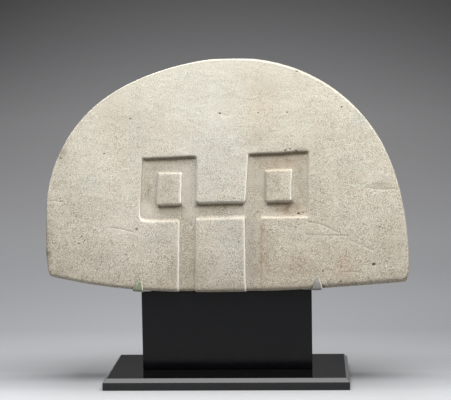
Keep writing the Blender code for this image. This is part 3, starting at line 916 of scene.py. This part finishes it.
# %% Polish the acrylic
def black_acrylic(name, gloss, smooth, hazy, deep, dusty):
    """Cast acrylic, its roughness and its colour between two values where dust has settled on it."""
    material, tree, shader = new_material(name)
    shader.inputs["IOR"].default_value = 1.49
    shader.inputs["Specular IOR Level"].default_value = gloss
    place = add_node(tree, "ShaderNodeTexCoord", {}, {}).outputs["Object"]
    # Dust lies in drifts about 17 mm across
    dust = add_node(tree, "ShaderNodeTexNoise", {}, {
        "Vector": place, "Scale": 60.0, "Detail": 6.0, "Roughness": 0.7})
    dulled = add_node(tree, "ShaderNodeMapRange", {}, {
        "Value": dust.outputs["Fac"], "From Min": 0.4, "From Max": 0.7,
        "To Min": smooth, "To Max": hazy})
    tree.links.new(dulled.outputs[0], shader.inputs["Roughness"])
    tone = add_node(tree, "ShaderNodeMix", {"data_type": "RGBA"}, {
        0: dust.outputs["Fac"], 6: linear(deep), 7: linear(dusty)})
    tree.links.new(tone.outputs[2], shader.inputs["Base Color"])
    return material


finishes = {
    "base_plate": black_acrylic(
        "polished_black_acrylic", 0.5, 0.05, 0.10, "#0B0B0C", "#111112"),
    "support_block": black_acrylic(
        "rubbed_black_acrylic", 0.24, 0.16, 0.24, "#050506", "#0A0A0D"),
}
for node, finish in finishes.items():
    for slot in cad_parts[node].material_slots:
        slot.material = finish
print("finished:", ", ".join(finishes))

# %% [markdown]
# Each clip is a strip of thin metal, cut to a point, bent up over the slab's lower edge and
# painted to blend with the stone. It is made as a real one is: a flat sheet, bent along a path,
# then given its thickness. The strip follows the model's clip, with finer bends and softened edges.

# %% Bend the clips
CLIP_THICKNESS = 1.8 * MM
SEAT_GAP = 0.4 * MM
block_low, block_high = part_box("support_block")
BLOCK_X, BLOCK_HALF = (block_low.x + block_high.x) / 2, (block_high.x - block_low.x) / 2


def clip_path(reach, bend=3 * MM, shoulder=23 * MM, flare=4 * MM, steps=10):
    """The strip's inner line from its front tip, under the slab, to its back tip.

    Each point has its Y, its height over the slab's underside, and from 0 to 1 how far the strip
    has tapered to its point and how far it is the tongue that is let into the block."""
    face = (slab_high.y - slab_low.y) / 2 + SEAT_GAP
    front = []
    for step in range(steps + 1):
        height = reach + (bend - SEAT_GAP - reach) * step / steps
        front.append((-face, height, max(0, (height - bend) / (reach - bend)), 0))
    for step in range(1, steps + 1):
        angle = math.radians(90) * step / steps
        y, height = -face + bend * (1 - math.cos(angle)), bend * (1 - math.sin(angle)) - SEAT_GAP
        front.append((y, height, 0, 0))
    front.append((-shoulder - flare, -SEAT_GAP, 0, 0))
    front.append((-shoulder, -SEAT_GAP, 0, 1))
    return front + [(-y, height, taper, tongue) for y, height, taper, tongue in reversed(front)]


def give_thickness(strip, offset):
    """Turns a bent sheet into a strip of metal with softened edges."""
    shell = strip.modifiers.new("strip thickness", "SOLIDIFY")
    shell.thickness, shell.offset, shell.use_even_offset = CLIP_THICKNESS, offset, True
    softened = strip.modifiers.new("softened edges", "BEVEL")
    softened.width, softened.segments, softened.limit_method = 0.35 * MM, 2, "ANGLE"
    softened.angle_limit = math.radians(50)


def bend_clip(name, way, start, width, tip, reach,
              tip_width=3.6 * MM, tongue_width=14 * MM, columns=8):
    """A clip at the block's end: way is -1 for the left one and 1 for the right one."""
    path, start_out = clip_path(reach), BLOCK_HALF + start
    points, faces, rubbed, shaded = [], [], [], []
    for y, height, taper, tongue in path:
        near = start_out + taper * (tip - tip_width / 2) - tongue * (start + tongue_width)
        far = start_out + width + taper * (tip + tip_width / 2 - width)
        for column in range(columns + 1):
            x = BLOCK_X + way * (near + (far - near) * column / columns)
            points.append((x, y, float(underside(x)) + height))
            share = column / columns
            # A painted highlight along the strip's right edge, and painted shade where it turns under
            # the slab
            rubbed.append(ease(np.array(share if way > 0 else 1 - share), 0.86, 1.0))
            shaded.append(1 - ease(np.array(taper), 0.1, 0.5))
    for row in range(len(path) - 1):
        for column in range(columns):
            a = row * (columns + 1) + column
            faces.append((a, a + 1, a + columns + 2, a + columns + 1))
    mesh = bpy.data.meshes.new(name)
    mesh.from_pydata(points, [], faces)
    strip = bpy.data.objects.new(name, mesh)
    bpy.context.collection.objects.link(strip)
    for tone, values in (("rubbed", rubbed), ("shaded", shaded)):
        mask = mesh.attributes.new(tone, "FLOAT", "POINT")
        mask.data.foreach_set("value", np.array(values, np.float32))
    # The sheet is the strip's inner side, so its thickness goes away from the slab
    give_thickness(strip, -1 if any(face.normal.z > 0.5 for face in mesh.polygons) else 1)
    mesh.shade_smooth()
    return strip


left_clip = bend_clip(
    "left_clip", -1, start=-3.6 * MM, width=14.4 * MM, tip=4.6 * MM, reach=17 * MM)
right_clip = bend_clip(
    "right_clip", 1, start=1.4 * MM, width=13.2 * MM, tip=6.9 * MM, reach=15.2 * MM)
for strip, node in ((left_clip, "clip_left"), (right_clip, "clip_right")):
    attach(strip, "root")
    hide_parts(node)
print("clips:", left_clip.name, right_clip.name)

# %% [markdown]
# The clips' paint was brushed on by hand to match the stone, so it is matt and slightly patchy,
# and each clip has its own mix: one greener, one greyer. Painted shade darkens it where the strip
# turns under the slab, and a painted highlight runs along its right edge. Both of those are masks
# that the strip carries.

# %% Paint the clips
def paint(name, light, dark):
    """Brushed matt paint on metal, rubbed through to a paler tone in small patches."""
    material, tree, shader = new_material(name)
    place = add_node(tree, "ShaderNodeTexCoord", {}, {}).outputs["Object"]
    # Brush marks are about 2.4 mm across
    brush = add_node(tree, "ShaderNodeTexNoise", {}, {
        "Vector": place, "Scale": 420.0, "Detail": 3.0}).outputs["Fac"]
    cover = add_node(tree, "ShaderNodeMapRange", {}, {
        "Value": brush, "From Min": 0.4, "From Max": 0.62}).outputs[0]
    colour = add_node(tree, "ShaderNodeMix", {"data_type": "RGBA"}, {
        0: cover, 6: linear(dark), 7: linear(light)}).outputs[2]
    # Painted shade where the strip turns under the slab, and a painted highlight along its right edge
    for mask, tint, most in (("shaded", dark, 0.8), ("rubbed", "#D4D4C9", 0.9)):
        reached = add_node(tree, "ShaderNodeAttribute", {"attribute_name": mask}, {}).outputs["Fac"]
        cover = add_node(tree, "ShaderNodeMath", {"operation": "MULTIPLY"}, {
            0: reached, 1: most}).outputs[0]
        colour = add_node(tree, "ShaderNodeMix", {"data_type": "RGBA"}, {
            0: cover, 6: colour, 7: linear(tint)}).outputs[2]
    tree.links.new(colour, shader.inputs["Base Color"])
    shader.inputs["Roughness"].default_value = 0.5
    bump = add_node(tree, "ShaderNodeBump", {}, {
        "Height": brush, "Strength": 0.3, "Distance": 0.4 * MM})
    tree.links.new(bump.outputs[0], shader.inputs["Normal"])
    return material


left_clip.data.materials.append(paint("clip_paint_green_grey", "#A9AC99", "#74785F"))
right_clip.data.materials.append(paint("clip_paint_grey", "#9B9A92", "#777670"))
print("painted:", left_clip.active_material.name, right_clip.active_material.name)

# %% [markdown]
# The table and the backdrop are one sheet of paper that curves up behind the object, so that no
# line shows between them. It is pale in front and falls into shade towards the top, as paper does
# when the light is kept off it. The shade is part of the paper's colour, by its place in the room.

# %% Hang the paper sweep
SWEEP_WIDE, SWEEP_FRONT, SWEEP_BACK, SWEEP_CURVE, SWEEP_TOP = 5.0, -4.0, 2.4, 1.2, 4.5
CURVE_STEPS = 24
profile = [(SWEEP_FRONT, 0.0), (-1.5, 0.0), (0.0, 0.0), (1.2, 0.0)]
for step in range(CURVE_STEPS + 1):
    angle = math.radians(90) * step / CURVE_STEPS
    y, z = SWEEP_BACK + SWEEP_CURVE * math.sin(angle), SWEEP_CURVE * (1 - math.cos(angle))
    profile.append((y, z))
profile.append((SWEEP_BACK + SWEEP_CURVE, SWEEP_TOP))
points = [(x, y, z) for y, z in profile for x in (-SWEEP_WIDE, SWEEP_WIDE)]
faces = [(2 * i, 2 * i + 1, 2 * i + 3, 2 * i + 2) for i in range(len(profile) - 1)]
sweep_mesh = bpy.data.meshes.new("paper_sweep")
sweep_mesh.from_pydata(points, [], faces)
sweep_mesh.shade_smooth()
sweep = bpy.data.objects.new("paper_sweep", sweep_mesh)
bpy.context.collection.objects.link(sweep)
print("sweep:", len(faces), "faces")

# %% Shade the paper
# Each shade is written with how far back along the sheet it lies, in metres
SWEEP_SHADES = (
    (-0.50, "#ECEEF1"), (-0.13, "#ECEEF1"), (-0.09, "#E6E8EB"), (-0.06, "#D6D8DB"), (0.0, "#CACCCF"),
    (0.02, "#CED0D3"), (0.046, "#C2C4C7"), (0.10, "#BEC0C3"), (0.175, "#C1C2C5"), (0.25, "#BBBCC0"),
    (0.36, "#B2B3B7"), (0.66, "#B3B4B7"), (1.04, "#B8B9BC"), (1.53, "#C3C4C7"), (2.47, "#D1D1D4"),
    (2.95, "#C9C9CB"), (3.30, "#C3C3C5"), (3.58, "#B1B1B3"), (3.85, "#9A9A9C"), (4.10, "#828282"),
    (4.25, "#969696"), (4.50, "#969696"),
)
# How much darker the sheet gets in a metre to the right, at such places: the light of a grey
RIGHT_SHADES = (
    (-0.50, "#949494"), (0.05, "#949494"), (0.12, "#B0B0B0"), (0.24, "#BCBCBC"),
    (0.34, "#B8B8B8"), (0.66, "#989898"), (1.04, "#909090"), (1.60, "#606060"),
    (2.40, "#000000"), (4.50, "#000000"),
)
NEAREST, FARTHEST = -0.5, 4.5
paper, tree, shader = new_material("matt_paper")
place = add_node(tree, "ShaderNodeTexCoord", {}, {}).outputs["Object"]
apart = add_node(tree, "ShaderNodeSeparateXYZ", {}, {0: place})
away = add_node(tree, "ShaderNodeMath", {"operation": "ADD"}, {
    0: apart.outputs["Y"], 1: apart.outputs["Z"]}).outputs[0]
along = add_node(tree, "ShaderNodeMapRange", {}, {
    "Value": away, "From Min": NEAREST, "From Max": FARTHEST}).outputs[0]
ramps = []
for shades in (SWEEP_SHADES, RIGHT_SHADES):
    stops = [((metres - NEAREST) / (FARTHEST - NEAREST), colour) for metres, colour in shades]
    ramps.append(add_node(tree, "ShaderNodeValToRGB", {"stops": stops}, {"Fac": along}).outputs[0])
shade, right_shade = ramps
# High up, the pool of light on the paper fades to both sides
beside = add_node(tree, "ShaderNodeMath", {"operation": "ADD"}, {
    0: apart.outputs["X"], 1: 0.15}).outputs[0]
squared = add_node(tree, "ShaderNodeMath", {"operation": "MULTIPLY"}, {
    0: beside, 1: beside}).outputs[0]
high = add_node(tree, "ShaderNodeMapRange", {}, {
    "Value": away, "From Min": 2.6, "From Max": 4.1, "To Max": 0.45}).outputs[0]
to_sides = add_node(tree, "ShaderNodeMath", {"operation": "MULTIPLY"}, {
    0: squared, 1: high}).outputs[0]
fade = add_node(tree, "ShaderNodeMath", {"operation": "MULTIPLY_ADD", "use_clamp": True}, {
    0: beside, 1: right_shade, 2: to_sides}).outputs[0]
faded = add_node(tree, "ShaderNodeMix", {"data_type": "RGBA"}, {
    0: fade, 6: shade, 7: linear("#101010")})
tree.links.new(faded.outputs[2], shader.inputs["Base Color"])
shader.inputs["Roughness"].default_value = 0.9
shader.inputs["Specular IOR Level"].default_value = 0.1
sweep_mesh.materials.append(paper)
print("paper nodes:", len(tree.nodes))

# %% [markdown]
# A wide strip of light hangs in front of the slab and above it. It grazes the face, so that the
# ledges throw their dark bands, and it is close, so that the light falls off down the stone. A
# weak fill from the front right opens the shadows, and a softbox overhead draws the bright line
# on the rim and on the plate's bevel. One more fill is behind, and one lamp is aimed at the pool
# on the backdrop. The strip and both fills are kept off the paper, as a studio does with flags.

# %% Place the lights
def softbox(name, spot, aim, wide, high, watts):
    """A rectangular lamp at a spot, turned to its aim."""
    light = bpy.data.lights.new(name, "AREA")
    light.shape, light.size, light.size_y, light.energy = "RECTANGLE", wide, high, watts
    box = bpy.data.objects.new(name, light)
    towards = (Vector(aim) - Vector(spot)).to_track_quat("-Z", "Y").to_matrix().to_4x4()
    box.matrix_world = Matrix.Translation(spot) @ towards
    bpy.context.collection.objects.link(box)
    return box


key = softbox("key_strip", (0.12, -0.85, 1.40), (0, -0.035, 0.28), 1.6, 0.33, 30.2)
fill = softbox("right_fill", (1.0, -1.2, 0.35), (0, 0, 0.25), 0.6, 0.5, 3)
softbox("overhead_softbox", (0.22, -0.15, 1.62), (0.22, -0.15, 0.0), 1.6, 1.0, 30.5)
back_fill = softbox("back_fill", (-1.7, 1.9, 1.1), (0, 0, 0.25), 0.8, 0.8, 14)
back_fill.visible_camera = False
softbox("backdrop_wash", (-0.42, 1.8, 2.4), (-0.17, 2.5, 0.0), 1.8, 1.4, 22)
off_the_paper = bpy.data.collections.new("kept_dark_by_the_flag")
off_the_paper.objects.link(sweep)
off_the_paper.collection_objects[0].light_linking.link_state = "EXCLUDE"
for light in (key, fill, back_fill):
    light.light_linking.receiver_collection = off_the_paper
world = bpy.data.worlds.new("room")
world.use_nodes = True
world.node_tree.nodes["Background"].inputs["Color"].default_value = linear("#FFFFFF")
world.node_tree.nodes["Background"].inputs["Strength"].default_value = 0.04
bpy.context.scene.world = world
bpy.context.scene.view_settings.view_transform = "Standard"
